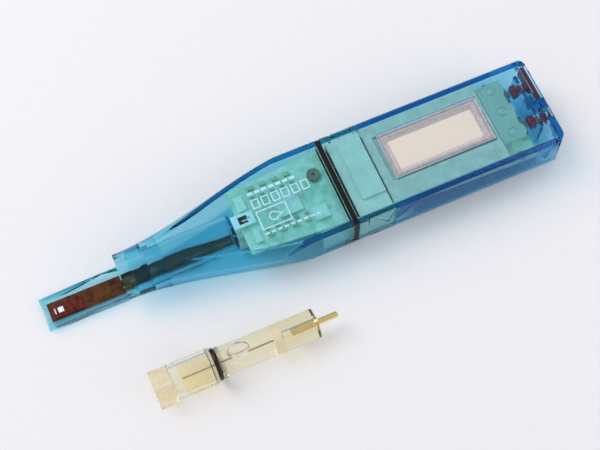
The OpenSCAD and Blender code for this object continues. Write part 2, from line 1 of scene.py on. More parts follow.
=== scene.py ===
# %% [markdown]
# # A see-through pocket pH meter and its reference cartridge
#
# The meter is a slim case of clear blue plastic with all of its works on show:
# a sensor tongue, a bottle-shaped nose, a battery tray, a display and two red
# buttons. Its clear reference cartridge lies beside it. The CAD model already
# holds every part at its true size, so this lesson keeps those shapes where
# they are right, remakes the ones that need finer edges, and gives each one
# the finish of its real material.

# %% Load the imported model
import json
import math

import bmesh
import bpy
from mathutils import Matrix, Vector


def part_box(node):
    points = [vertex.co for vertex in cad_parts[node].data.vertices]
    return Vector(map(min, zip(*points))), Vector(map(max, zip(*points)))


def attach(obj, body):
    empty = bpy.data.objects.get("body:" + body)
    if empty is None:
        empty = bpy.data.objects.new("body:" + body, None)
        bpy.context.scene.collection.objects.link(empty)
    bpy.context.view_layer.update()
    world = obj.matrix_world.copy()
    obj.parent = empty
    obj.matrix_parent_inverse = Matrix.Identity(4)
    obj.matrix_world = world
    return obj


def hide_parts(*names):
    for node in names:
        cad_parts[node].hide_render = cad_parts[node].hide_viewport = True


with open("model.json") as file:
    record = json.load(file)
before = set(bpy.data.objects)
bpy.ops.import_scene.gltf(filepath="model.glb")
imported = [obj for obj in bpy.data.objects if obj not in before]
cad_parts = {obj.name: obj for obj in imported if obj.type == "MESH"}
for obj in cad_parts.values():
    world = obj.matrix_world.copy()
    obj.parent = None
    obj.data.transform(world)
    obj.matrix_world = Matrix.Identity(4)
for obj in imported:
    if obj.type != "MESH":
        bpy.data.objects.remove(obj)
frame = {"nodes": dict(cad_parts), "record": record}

MM = 0.001
record = frame["record"]
nodes = frame["nodes"]
body_of = {node: body for body, names in record["behaviour"]["bodies"].items() for node in names}
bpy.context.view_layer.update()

# %% [markdown]
# ## Colour and node helpers
#
# Every colour is written as the hex value that a designer would pick.
# Blender's shaders want linear light, so one function converts them. A second
# small function adds a shader node with its settings and links, which keeps
# the recipes below short enough to read as recipes.

# %% Colour and node helpers


def linear(hex_colour):
    """The linear RGBA of a hex colour such as 2E8FB8."""
    channels = [int(hex_colour[i:i + 2], 16) / 255 for i in (0, 2, 4)]
    return tuple(c / 12.92 if c <= 0.04045 else ((c + 0.055) / 1.055) ** 2.4 for c in channels) + (1.0,)


def add(tree, kind, settings=None, inputs=None):
    """Adds a node, sets its settings, and sets or links its inputs."""
    made = tree.nodes.new(kind)
    for key, value in (settings or {}).items():
        setattr(made, key, value)
    for key, value in (inputs or {}).items():
        if isinstance(value, bpy.types.NodeSocket):
            tree.links.new(value, made.inputs[key])
        else:
            made.inputs[key].default_value = value
    return made


def new_material(name):
    """An empty node material and its output node."""
    material = bpy.data.materials.new(name)
    material.use_nodes = True
    material.node_tree.nodes.clear()
    output = material.node_tree.nodes.new("ShaderNodeOutputMaterial")
    return material, material.node_tree, output


def per_mm(size):
    """The noise scale whose features are about this many millimetres wide."""
    return 1 / (size * MM)


print("grain 0.5 mm is a noise scale of", per_mm(0.5))

# %% [markdown]
# ## Camera
#
# The meter is seen from above and a little from its near side, with a long
# lens from about half a metre, so the case hardly tapers. The camera is built
# from its compass angle, its height angle and a slight roll.

# %% Camera
VIEW_AZIMUTH = math.radians(-21.86)
VIEW_HEIGHT = math.radians(66.39)
VIEW_ROLL = math.radians(-1.88)
VIEW_TARGET = Vector((-0.00077, -0.00328, 0))
VIEW_DISTANCE = 0.47226

back = Vector((
    math.sin(VIEW_AZIMUTH) * math.cos(VIEW_HEIGHT),
    -math.cos(VIEW_AZIMUTH) * math.cos(VIEW_HEIGHT),
    math.sin(VIEW_HEIGHT),
))
level = Vector((math.cos(VIEW_AZIMUTH), math.sin(VIEW_AZIMUTH), 0))
rise = back.cross(level)
right = level * math.cos(VIEW_ROLL) + rise * math.sin(VIEW_ROLL)
up = rise * math.cos(VIEW_ROLL) - level * math.sin(VIEW_ROLL)

camera_data = bpy.data.cameras.new("camera")
camera_data.lens = 87.06
camera_data.sensor_width = 36
camera_data.clip_start = 0.01
camera = bpy.data.objects.new("camera", camera_data)
camera.matrix_world = (
    Matrix.Translation(VIEW_TARGET + back * VIEW_DISTANCE) @ Matrix((right, up, back)).transposed().to_4x4()
)
bpy.context.collection.objects.link(camera)
bpy.context.scene.camera = camera
print("camera at", [round(v, 3) for v in camera.matrix_world.translation])

# %% [markdown]
# ## Floor and light
#
# The meter lies on white paper under soft studio light. A pale sky lights it
# from all round, one large soft box above the far left side gives the gentle
# shadow at the near right, and a smaller one at the near right fills it.

# %% Floor and light
bpy.context.scene.view_settings.view_transform = "Standard"

world = bpy.data.worlds.new("studio")
world.use_nodes = True
sky = world.node_tree.nodes["Background"]
sky.inputs["Color"].default_value = linear("F6F6FA")
sky.inputs["Strength"].default_value = 0.6
bpy.context.scene.world = world


def soft_box(name, place, size, power):
    """A square area light at place, aimed at the middle of the floor."""
    data = bpy.data.lights.new(name, "AREA")
    data.size = size
    data.energy = power
    lamp = bpy.data.objects.new(name, data)
    lamp.location = place
    lamp.rotation_euler = Vector(place).to_track_quat("Z", "Y").to_euler()
    bpy.context.collection.objects.link(lamp)
    return lamp


# place and width in metres, power in watts
soft_box("key_box", (-0.45, 0.55, 0.75), 0.7, 6.0)
soft_box("fill_box", (0.55, -0.45, 0.32), 0.5, 1.6)

# %% [markdown]
# ## White paper
#
# Paper is nearly even, but never quite. One soft noise, with clouds a few
# millimetres wide, tints it and raises it a little. It is drawn coarser than
# real paper fibre, which would be too fine to show. The sheet is a plain grid.

# %% White paper
PAPER_HALF = 1.5  # metres
PAPER_DROP = 0.1  # mm below the meter
PAPER_FIBRE = 3  # mm
paper, tree, output = new_material("white_paper")
coords = add(tree, "ShaderNodeTexCoord")
fibre = add(tree, "ShaderNodeTexNoise", inputs={
    "Vector": coords.outputs["Object"], "Scale": per_mm(PAPER_FIBRE), "Detail": 4.0})
relief = add(tree, "ShaderNodeBump", inputs={
    "Height": fibre.outputs["Fac"], "Strength": 0.05, "Distance": 0.0002})
shade = add(tree, "ShaderNodeMix", {"data_type": "RGBA"}, {
    "Factor": fibre.outputs["Fac"], 6: linear("EEEDF0"), 7: linear("F2F1F4")})
paper_surface = add(tree, "ShaderNodeBsdfPrincipled", inputs={
    "Base Color": shade.outputs[2], "Roughness": 0.9, "Normal": relief.outputs["Normal"]})
tree.links.new(paper_surface.outputs[0], output.inputs["Surface"])

bm = bmesh.new()
bmesh.ops.create_grid(bm, x_segments=8, y_segments=8, size=PAPER_HALF)
bmesh.ops.translate(bm, verts=bm.verts, vec=(0, 0, -PAPER_DROP * MM))
mesh = bpy.data.meshes.new("floor")
bm.to_mesh(mesh)
bm.free()
floor = bpy.data.objects.new("floor", mesh)
floor.data.materials.append(paper)
bpy.context.collection.objects.link(floor)
print("floor is", floor.dimensions.x, "m wide")

# %% [markdown]
# ## Clear dyed plastic
#
# The case is moulded from clear plastic with a blue dye in it. A thin wall lets
# most light through and looks light blue, and a wall seen edge-on is almost
# navy, because its light has come a long way through the dye. So the surface
# is colourless and glassy, and the dye is a Volume Absorption inside it. Rays
# from lamps go straight through the surface, so the dye alone colours the
# light that falls on the works and on the paper, with little noise.

# %% Clear dyed plastic


def dye_inside(tree, output, dye, depth):
    """Light that crosses depth millimetres of the plastic keeps the colour dye."""
    absorbed = [-math.log(max(c, 0.002)) / (depth * MM) for c in linear(dye)[:3]]
    density = max(absorbed)
    volume = add(tree, "ShaderNodeVolumeAbsorption", inputs={
        "Color": tuple(1 - a / density for a in absorbed) + (1.0,), "Density": density})
    tree.links.new(volume.outputs[0], output.inputs["Volume"])


def clear_plastic(name, dye, depth=6.0, roughness=(0.02, 0.07), ior=1.49, ripple=7.0, wave=0.02,
                  clearness=1.0, body="FFFFFF"):
    """Clear moulded plastic with a faint flow ripple from the mould; less clearness makes it milky."""
    material, tree, output = new_material(name)
    coords = add(tree, "ShaderNodeTexCoord").outputs["Object"]
    flow = add(tree, "ShaderNodeTexNoise", inputs={"Vector": coords, "Scale": per_mm(ripple), "Detail": 3.0})
    haze = add(tree, "ShaderNodeMapRange", inputs={
        "Value": flow.outputs["Fac"], "From Min": 0.35, "From Max": 0.7,
        "To Min": roughness[0], "To Max": roughness[1]})
    relief = add(tree, "ShaderNodeBump", inputs={
        "Height": flow.outputs["Fac"], "Strength": wave, "Distance": 0.5 * MM})
    surface = add(tree, "ShaderNodeBsdfPrincipled", inputs={
        "Base Color": linear(body), "Roughness": haze.outputs[0], "IOR": ior,
        "Transmission Weight": clearness, "Normal": relief.outputs["Normal"]})
    through = add(tree, "ShaderNodeBsdfTransparent")
    ray = add(tree, "ShaderNodeLightPath")
    scattered = add(tree, "ShaderNodeMixShader", inputs={
        0: ray.outputs["Is Diffuse Ray"], 1: surface.outputs[0], 2: through.outputs[0]})
    mixed = add(tree, "ShaderNodeMixShader", inputs={
        0: ray.outputs["Is Shadow Ray"], 1: scattered.outputs[0], 2: through.outputs[0]})
    tree.links.new(mixed.outputs[0], output.inputs["Surface"])
    dye_inside(tree, output, dye, depth)
    return material


# The index of refraction is set below real plastic's 1.49, which bends light so
# much in these thin nested walls that they fill with dark reflections.
CASE_IOR = 1.27
case_blue = clear_plastic("clear_blue_case_plastic", "76CCEC", ior=CASE_IOR)
nose_blue = clear_plastic("clear_blue_nose_plastic", "6ACAE4", ior=CASE_IOR, ripple=9.0)
collar_blue = clear_plastic("clear_pale_blue_collar_plastic", "80D0E0", ior=CASE_IOR)
print("clear plastics:", case_blue.name, nose_blue.name, collar_blue.name)

# %% [markdown]
# ## Opaque plastic, rubber and metal
#
# Inside the case are plain moulded plastics, circuit boards, rubber and plated
# metal. None of them is one flat colour: moulded plastic is faintly cloudy,
# boards show their glass weave, and plating has fine streaks. The same noise
# drives the colour, the roughness and a shallow relief, so a duller spot is
# also a slightly rougher one, as it is on the real surface.

# %% Opaque plastic, rubber and metal


def grained(name, low, high, roughness=(0.35, 0.5), grain=0.8, depth=0.1, relief_strength=0.08,
            **surface_values):
    """A surface whose colour, gloss and relief follow one cloudy grain."""
    material, tree, output = new_material(name)
    coords = add(tree, "ShaderNodeTexCoord").outputs["Object"]
    cloud = add(tree, "ShaderNodeTexNoise", inputs={"Vector": coords, "Scale": per_mm(grain), "Detail": 5.0})
    spread = add(tree, "ShaderNodeMapRange", inputs={
        "Value": cloud.outputs["Fac"], "From Min": 0.3, "From Max": 0.7})
    colour = add(tree, "ShaderNodeMix", {"data_type": "RGBA"}, {
        "Factor": spread.outputs[0], 6: linear(low), 7: linear(high)})
    rough = add(tree, "ShaderNodeMapRange", inputs={
        "Value": cloud.outputs["Fac"], "To Min": roughness[0], "To Max": roughness[1]})
    relief = add(tree, "ShaderNodeBump", inputs={
        "Height": cloud.outputs["Fac"], "Strength": relief_strength, "Distance": depth * MM})
    surface = add(tree, "ShaderNodeBsdfPrincipled", inputs={
        "Base Color": colour.outputs[2], "Roughness": rough.outputs[0], "Normal": relief.outputs["Normal"]})
    for key, value in surface_values.items():
        surface.inputs[key.replace("_", " ")].default_value = value
    tree.links.new(surface.outputs[0], output.inputs["Surface"])
    return material


def plated(name, low, high, roughness=(0.14, 0.28), grain=0.5):
    """Plated metal with faint streaks."""
    return grained(name, low, high, roughness, grain, 0.03, 0.05, Metallic=1.0)


print("opaque recipes ready")

# %% [markdown]
# ## Fine copies of the CAD parts
#
# A CAD solid has knife-sharp edges and exact contact with its neighbours.
# Moulded parts have slightly rounded edges that catch the light, and a hair of
# air between each other, which clear plastic shows very clearly. So each part
# is copied, its loose triangles are merged, and it is drawn in by a hundredth
# of a millimetre or two. Then its flat areas are joined and its sharp edges are
# bevelled. The three clear shells skip that last step, so their thin walls stay
# exactly as they are. Weighted normals keep the flat faces flat in the shading.

# %% Fine copies


def place(name, bm, material, node, smooth_angle=40):
    """Makes the object of a finished bmesh, hides the CAD part it stands for, and attaches it to that part's
    body.
    """
    mesh = bpy.data.meshes.new(name)
    bm.to_mesh(mesh)
    bm.free()
    for face in mesh.polygons:
        face.use_smooth = True
    mesh.set_sharp_from_angle(angle=math.radians(smooth_angle))
    piece = bpy.data.objects.new(name, mesh)
    mesh.materials.append(material)
    bpy.context.collection.objects.link(piece)
    weighted = piece.modifiers.new("flat faces stay flat", "WEIGHTED_NORMAL")
    weighted.keep_sharp = True
    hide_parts(node)
    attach(piece, body_of[node])
    return piece


def merged(node, gap=0.015, join_flats=True):
    """A merged bmesh of a CAD node, drawn in by gap millimetres."""
    bm = bmesh.new()
    bm.from_mesh(nodes[node].data)
    bmesh.ops.remove_doubles(bm, verts=bm.verts, dist=0.002 * MM)
    if join_flats:
        bmesh.ops.dissolve_limit(bm, angle_limit=math.radians(0.5), verts=bm.verts, edges=bm.edges)
    bm.normal_update()
    for v in bm.verts:
        v.co -= v.normal * gap * MM
    return bm


def soften(bm, edge, segments=2, least_angle=35):
    """Bevels the sharp edges by edge millimetres."""
    sharp = [e for e in bm.edges if e.is_manifold and e.calc_face_angle() > math.radians(least_angle)]
    bmesh.ops.bevel(bm, geom=sharp, offset=edge * MM, offset_type="OFFSET", segments=segments, profile=0.5,
                    affect="EDGES", clamp_overlap=True, material=-1)


def fine_copy(node, material, edge=0.12, gap=0.015, segments=2):
    bm = merged(node, gap, edge > 0)
    if edge:
        soften(bm, edge, segments)
    return place("fine_" + node, bm, material, node)


# part: finish, bevel in mm
fine_parts = {
    # clear dyed plastic, moulded: shows what lies behind it
    "probe_tip": (nose_blue, 0.0),
    "rear_case": (case_blue, 0.0),
    "collar": (collar_blue, 0.0),
    "button_guide": (case_blue, 0.1),
    # ABS, moulded with a fine grain: satin, and faintly cloudy through the case
    "case_plate": (grained("pale_stiffener_abs", "C4D4CC", "D8E6DC", (0.4, 0.55), 3.0), 0.25),
    "display_carrier": (grained("pale_carrier_abs", "C0C2B2", "D8D8C8", (0.4, 0.55), 3.5), 0.2),
    "inner_frame": (grained("pale_tray_abs", "C8D0C8", "DCE4DA", (0.4, 0.55), 3.0), 0.2),
    # nylon, moulded: whiter and a little duller than ABS
    "socket_housing": (grained("white_socket_nylon", "F0F6F2", "FCFEFC", (0.4, 0.5), 1.5), 0.15),
    # glass laminate: pale green and mottled
    "main_board": (grained("pale_board_laminate", "A8CCB0", "DCF0DE", (0.35, 0.5), 2.8), 0.1),
    # rubber: nearly black, with hardly any highlight
    "gasket": (grained("black_gasket_rubber", "060505", "100C0E", (0.35, 0.5), 0.8, 0.1, 0.15,
                       Specular_IOR_Level=0.25), 0.15),
    # polished coloured plastic: a small clear highlight on a dark red
    "power_button": (grained("red_power_plastic", "701030", "90183C", (0.15, 0.3), 1.5), 0.25),
    "calibrate_button": (grained("red_calibrate_plastic", "701030", "90183C", (0.15, 0.3), 1.5), 0.2),
    # resin, cast and then potted: the brown is deep and blotchy, the red wet
    "sensor_strip": (grained("brown_resin_strip", "2E1404", "6A3A0C", (0.35, 0.5), 2.5,
                             Specular_IOR_Level=0.15), 0.08),
    "sensor_encapsulation": (grained("dark_red_potting", "1C0403", "7A1C0C", (0.12, 0.3), 1.6, 0.15, 0.5,
                                     Specular_IOR_Level=0.2), 0.1),
    "flex_connector": (grained("cream_connector_nylon", "CFCFC4", "DEDED4"), 0.15),
    # nickel-plated steel: grey metal with soft streaks
    "coin_cells": (plated("nickel_cell_steel", "B0B0AE", "C8C8C6"), 0.15),
    # acrylic with a frosted face: milky, with light caught in its edges
    "cartridge_head": (clear_plastic("frosted_head_acrylic", "F8F1DC", 8.0, (0.22, 0.4), 1.4, 3.0, 0.1,
                                     0.8, "FAF6EC"), 0.45),
}
for node, (material, edge) in fine_parts.items():
    piece = fine_copy(node, material, edge)
    print(piece.name, len(piece.data.polygons), "faces")

# %% [markdown]
# ## Shapes by loops
#
# Frames, lenses and shells are stacks of closed loops, each a little larger,
# smaller, higher or lower than the last. Bridging finished loops would do, but
# nested loops of nearly the same size can pair up wrongly. Extruding the last
# loop and putting each new vertex in its place keeps the pairs by birth.

# %% Shapes by loops


def corner_mm(node):
    """The lowest and highest corner of a CAD node, in mm."""
    low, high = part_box(node)
    return Vector(low) / MM, Vector(high) / MM


def lofted(verts, stations, put, bm, closed=False):
    """Extrudes a loop from station to station, all in mm, and turns mm into metres at the end.

    put(co, station) says where a vertex goes. A closed loft joins its last loop to its first."""
    edges = list({e for v in verts for e in v.link_edges})
    first_edges = edges
    for v in verts:
        v.co = put(v.co, stations[0])
    for station in stations[1:] + (stations[:1] if closed else []):
        made = bmesh.ops.extrude_edge_only(bm, edges=edges)["geom"]
        fresh = {g for g in made if isinstance(g, bmesh.types.BMVert)}
        for v in fresh:
            v.co = put(v.co, station)
        edges = [g for g in made if isinstance(g, bmesh.types.BMEdge) and fresh.issuperset(g.verts)]
    if closed:
        bmesh.ops.remove_doubles(bm, verts=bm.verts, dist=0.001)
    else:
        bmesh.ops.edgeloop_fill(bm, edges=first_edges)
        bmesh.ops.edgeloop_fill(bm, edges=edges)
    bmesh.ops.recalc_face_normals(bm, faces=bm.faces)
    bmesh.ops.scale(bm, verts=bm.verts, vec=(MM, MM, MM))


# %% [markdown]
# ## Stepped rectangles and turned solids
#
# Two shapes come up again and again. A circle of four corners, turned by 45
# degrees and pulled to size, is a rectangle, and nested rectangles make the
# bezel and the lens. A cartridge part is a turned part, as from a lathe: its
# half profile goes once round the axis.

# %% Stepped rectangles and turned solids


def stepped_frame(half, centre, steps, closed):
    """Nested rectangles with a skin: each step is an inset from the outer edge, and a height."""
    bm = bmesh.new()
    verts = bmesh.ops.create_circle(bm, segments=4, radius=1)["verts"]
    bmesh.ops.rotate(bm, verts=verts, cent=(0, 0, 0), matrix=Matrix.Rotation(math.radians(45), 3, "Z"))
    bmesh.ops.translate(bm, verts=verts, vec=(centre.x, centre.y, 0))

    def put(co, step):
        inset, z = step
        return Vector((centre.x + math.copysign(half.x - inset, co.x - centre.x),
                       centre.y + math.copysign(half.y - inset, co.y - centre.y), z))

    lofted(verts, steps, put, bm, closed)
    return bm


def turned(profile, y, z, steps=72):
    """A solid of the (x, radius) points in mm, turned round the line y, z; it starts and ends on the axis."""
    bm = bmesh.new()
    row = [bm.verts.new((x * MM, y * MM, (z + r) * MM)) for x, r in profile]
    edges = [bm.edges.new(pair) for pair in zip(row, row[1:])]
    bmesh.ops.spin(bm, geom=row + edges, cent=(0, y * MM, z * MM), axis=(1, 0, 0), angle=2 * math.pi,
                   steps=steps, use_merge=True)
    bmesh.ops.remove_doubles(bm, verts=bm.verts, dist=0.001 * MM)
    bmesh.ops.recalc_face_normals(bm, faces=bm.faces)
    return bm


print("a CAD corner in mm:", [round(v, 2) for v in corner_mm("nose_shell")[0]])

# %% [markdown]
# ## Nose shell
#
# The nose is the showpiece of the case: a round neck that swells until it
# meets the flat faces of the body. Each station of the shell is a circle cut
# flat where it would stand out of the body's rounded rectangle, and the inner
# wall is the same rule with less radius. A shell lofted this way has long even
# quads, so the light runs along it without the wrinkles that a sliver-filled
# cut leaves. The front end laps the tip by a hair, because a film of air
# between two clear parts would shine like a mirror. One thing to know: the
# bore of the neck is held inside the same flat faces as the rest of the hollow,
# so it is flat at its top and bottom, where it cuts into the round spigot of
# the tip and into the ribbon. A round bore would need its own, larger limit.

# %% Nose shell
nose_low, nose_high = corner_mm("nose_shell")
half_width = nose_high.y
half_height = nose_high.z / 2
half_diagonal = math.hypot(half_width, half_height)
# all in mm
MOUTH_LENGTH = 9.0
SHOULDER = 5.0
SIDE_WALL = 2.0
FACE_WALL = 1.5
NOSE_WALL = 1.8
NECK_LENGTH = 5.5
NECK_BORE = 6.58  # radius, before the flat faces cut it off at top and bottom
LAP = 0.03  # how far clear parts and liquids reach into each other
flare_start = nose_low.x - MOUTH_LENGTH + 0.5
flare_end = nose_high.x - SHOULDER
neck_end = nose_low.x + NECK_LENGTH


def swell(x):
    """Radius of the nose at station x, all in mm."""
    t = min(1, max(0, (x - flare_start) / (flare_end - flare_start)))
    return half_height + (half_diagonal - half_height) * t * t * (3 - 2 * t)


def inside_bar(angle, half_y, half_z, corner):
    """Distance from the axis to a rounded rectangle in the direction angle."""
    c, s = abs(math.cos(angle)), abs(math.sin(angle))
    reach = min(half_y / max(c, 1e-6), half_z / max(s, 1e-6))
    if c * reach > half_y - corner and s * reach > half_z - corner:
        centre_y, centre_z = half_y - corner, half_z - corner
        along = c * centre_y + s * centre_z
        reach = along + math.sqrt(max(0, along ** 2 - centre_y ** 2 - centre_z ** 2 + corner ** 2))
    return reach


def on_station(co, station):
    """Puts a vertex on a circle that stays inside a rounded rectangle, round the nose axis."""
    x, radius, half_y, half_z, corner = station
    angle = math.atan2(co.z - half_height, co.y)
    r = min(radius, inside_bar(angle, half_y, half_z, corner))
    return Vector((x, r * math.cos(angle), half_height + r * math.sin(angle)))


print("nose runs from", round(nose_low.x, 2), "to", round(nose_high.x, 2), "mm, radius",
      round(swell(nose_low.x), 2), "to", round(swell(nose_high.x), 2))

# %% [markdown]
# ## Stations of the nose
#
# The loops are listed as stations, in the order in which the skin runs: out
# along the outer wall to a shallow groove before the seam, round the rim, and
# back along the inner wall to the bore of the neck. The last loop is joined to
# the first, so the shell is one closed tube. The circle has many corners, so
# the flat faces and the round neck are both smooth.

# %% Stations of the nose
STEPS = 56
RING_CORNERS = 320
GROOVE = 0.2  # mm
HAIR = 0.015  # mm drawn in, as for the fine copies
CASE_CORNER = 1.5  # mm, outside corner of the case
HOLLOW_CORNER = 0.4  # mm, inside corner
span = nose_high.x - 2
outer_x = [nose_low.x - LAP + (span - nose_low.x) * i / STEPS for i in range(STEPS + 1)]
inner_x = [neck_end + (span - neck_end) * i / STEPS for i in range(STEPS + 1)]
full = (half_width - HAIR, half_height - HAIR, CASE_CORNER)
grooved = (half_width - GROOVE, half_height - GROOVE, CASE_CORNER)
hollow = (half_width - SIDE_WALL, half_height - FACE_WALL, HOLLOW_CORNER)
end_x = nose_high.x - HAIR
stations = [(x, swell(x) - HAIR) + full for x in outer_x]
stations += [(outer_x[-1] + 0.1, half_diagonal) + grooved, (outer_x[-1] + 0.4, half_diagonal) + grooved]
stations += [(outer_x[-1] + 0.45, half_diagonal) + full, (end_x, half_diagonal) + full]
stations += [(x, swell(x) - NOSE_WALL) + hollow for x in [end_x] + inner_x[::-1]]
stations += [(neck_end - 0.01, NECK_BORE) + hollow, (nose_low.x - LAP, NECK_BORE) + hollow]
bm = bmesh.new()
to_axis = Matrix(((0, 0, 1, 0), (1, 0, 0, 0), (0, 1, 0, half_height), (0, 0, 0, 1)))
ring = bmesh.ops.create_circle(bm, segments=RING_CORNERS, radius=1, matrix=to_axis)["verts"]
lofted(ring, stations, on_station, bm, closed=True)
nose = place("nose_shell_lofted", bm, nose_blue, "nose_shell", smooth_angle=22)
print(nose.name, len(nose.data.polygons), "faces")

# %% [markdown]
# ## Window: bezel and lens
#
# The grey bezel is a stepped frame: a flat rim, a shallow groove, a slope down
# to a narrow ledge, and the wall round the display. The lens is a clear plate
# with a raised middle, so that its step frames the display once more. Both are
# nested rectangles with a skin between them.

# %% Window: bezel and lens
bezel_low, bezel_high = corner_mm("display_bezel")
lens_low, lens_high = corner_mm("window_lens")
centre = (bezel_low + bezel_high) / 2
half = (bezel_high - bezel_low) / 2 - Vector((0.02, 0.02, 0))
low_z, high_z = bezel_low.z + 0.015, bezel_high.z - 0.015
# inset from the outer edge, height
bezel_steps = [
    (0.0, low_z), (0.0, high_z), (0.55, high_z), (0.6, high_z - 0.35), (1.0, high_z - 0.35),
    (1.05, high_z - 0.1), (1.5, high_z - 0.1), (2.35, low_z + 0.35), (2.75, low_z + 0.3), (2.8, low_z),
]
bm = stepped_frame(half, centre, bezel_steps, closed=True)
bezel_abs = grained("grey_lilac_bezel_abs", "A8A2A8", "C0BABE", (0.3, 0.4), 1.2)
bezel = place("stepped_bezel", bm, bezel_abs, "display_bezel", smooth_angle=20)

lens_clear = clear_plastic("clear_window_acrylic", "F6F6F4", 6.0, (0.005, 0.02), ripple=5.0)
lens_steps = [(1.9, lens_high.z - 0.02), (1.7, lens_high.z - 0.4), (0.35, lens_high.z - 0.4),
              (0.03, lens_high.z - 0.6), (0.03, lens_low.z + 0.02)]
bm = stepped_frame(half, centre, lens_steps, closed=False)
lens = place("stepped_lens", bm, lens_clear, "window_lens", smooth_angle=20)
print(bezel.name, len(bezel.data.polygons), lens.name, len(lens.data.polygons))

# %% [markdown]
# ## Switch cover
#
# A soft translucent cover lies over the two switches. Its long block has well
# rounded edges, and three low domes stand in its shallow recesses. Each dome
# is a sphere, flattened and sunk into the block, so that only its cap shows.

# %% Switch cover
cover_low, cover_high = corner_mm("switch_cover")
# silicone, moulded: milky, so that it glows a little and hides the switches
cover_silicone = clear_plastic("milky_green_cover_silicone", "DCE4CC", 4.0, roughness=(0.2, 0.35), ior=1.35,
                               clearness=0.4, body="C4D2C8")
bm = merged("switch_cover")
soften(bm, 0.5, 3)
# all in mm
DOME_RADIUS = 1.5
DOME_FLATNESS = 0.6
DOME_SINK = 0.45
DOME_FROM_END = 4.4
DOME_FROM_SIDE = 2.9
dome_x = cover_high.x - DOME_FROM_END
cover_middle = (cover_low.y + cover_high.y) / 2
for dome_y in (cover_low.y + DOME_FROM_SIDE, cover_middle, cover_high.y - DOME_FROM_SIDE):
    ball = bmesh.ops.create_uvsphere(bm, u_segments=32, v_segments=16, radius=DOME_RADIUS * MM)["verts"]
    bmesh.ops.scale(bm, verts=ball, vec=(1, 1, DOME_FLATNESS))
    bmesh.ops.translate(bm, verts=ball, vec=(dome_x * MM, dome_y * MM, (cover_high.z - DOME_SINK) * MM))
cover = place("domed_switch_cover", bm, cover_silicone, "switch_cover")
print(cover.name, len(cover.data.polygons), "faces")

# %% [markdown]
# ## Contact clip and painted slot shade
#
# A dark spring clip sits in the slot of the white block and presses the
# contact sleeve on the cartridge's pin. Its dark bronze is also painted shade:
# it stands in for the shade deep in the slot. It is a bent strip in the shape
# of a C, so it is drawn as a flat outline and extruded upwards. It shares one
# piece with the sleeve, because both are the same contact.

# %% Contact clip and painted slot shade
house_low, house_high = corner_mm("socket_housing")
# dark bronze: the clip's metal, and painted shade for the hollow of the slot
clip_metal_and_slot_shade = plated("dark_bronze_clip_and_slot_shade", "241C18", "3C322C", (0.3, 0.45))
bm = merged("pin_socket")
slot_shade_clip_x = house_low.x + 2.3
SLOT_SHADE_CLIP_WIDEN = 1.2
SLOT_SHADE_CLIP_DROP = 1.15  # mm below the top of the block
SLOT_SHADE_CLIP_THICK = 0.7  # mm
# corners of the C, seen from above
outline = [(0, -1), (2.8, -1), (2.8, -0.45), (0.7, -0.45), (0.7, 0.45), (2.8, 0.45), (2.8, 1), (0, 1)]
slot_shade_clip_z = house_high.z - SLOT_SHADE_CLIP_DROP
corners = [bm.verts.new(((slot_shade_clip_x + x) * MM, y * SLOT_SHADE_CLIP_WIDEN * MM, slot_shade_clip_z * MM)) for x, y in outline]
face = bm.faces.new(corners)
raised = bmesh.ops.extrude_face_region(bm, geom=[face])["geom"]
top = [g for g in raised if isinstance(g, bmesh.types.BMVert)]
bmesh.ops.translate(bm, verts=top, vec=(0, 0, SLOT_SHADE_CLIP_THICK * MM))
bmesh.ops.recalc_face_normals(bm, faces=bm.faces)
slot_shade_clip = place("socket_sleeve_and_slot_shade_clip", bm, clip_metal_and_slot_shade, "pin_socket")
print(slot_shade_clip.name, len(slot_shade_clip.data.polygons), "faces")

# %% [markdown]
# ## Cartridge: sizes
#
# The reference cartridge is a set of turned parts: a clear barrel with a
# groove for its O-ring, the liquid with an air bubble, a pale gel, a cream
# plug, a silver wire and a stepped pin. They share one axis, so their sizes
# are read first, from the boxes of the CAD parts, and every profile below is
# written from them.

# %% Cartridge: sizes
barrel_low, barrel_high = corner_mm("cartridge_barrel")
ring_low, ring_high = corner_mm("cartridge_o_ring")
liquid_low, liquid_high = corner_mm("electrolyte")
plug_low, plug_high = corner_mm("inner_plug")
pin_low, pin_high = corner_mm("contact_pin")
gel_low, gel_high = corner_mm("salt_gel")
axis_y = (barrel_low.y + barrel_high.y) / 2
axis_z = (barrel_low.z + barrel_high.z) / 2
front_r = (barrel_high.z - barrel_low.z) / 2
ring_x = (ring_low.x + ring_high.x) / 2
ring_section = (ring_high.x - ring_low.x) / 2
groove_r = (ring_high.z - ring_low.z) / 2 - 2 * ring_section
bore_r = (liquid_high.z - liquid_low.z) / 2 + 0.02
barrel_r = bore_r + 0.9
chamber_r = front_r - 1.3
shank_r = (pin_high.z - pin_low.z) / 2
groove_0, groove_1 = ring_x - ring_section - 0.05, ring_x + ring_section + 0.05
print("barrel radius", round(barrel_r, 2), "mm, front radius", round(front_r, 2), "mm")

# %% [markdown]
# ## Cartridge: barrel
#
# The barrel is machined acrylic. Its outside is one half profile, from the
# front face past the O-ring groove to the shank. The chamber and the bore are
# cavities: their faces are turned in, so that the solid is hollow there and
# light meets a real inner wall.

# %% Cartridge: barrel
# acrylic, turned and polished: clear, with a warm tint where it is thick
barrel_acrylic = clear_plastic("clear_barrel_acrylic", "F4EED6", 8.0, (0.01, 0.05), 1.42, 4.0, 0.12,
                               0.97, "FFFEFA")
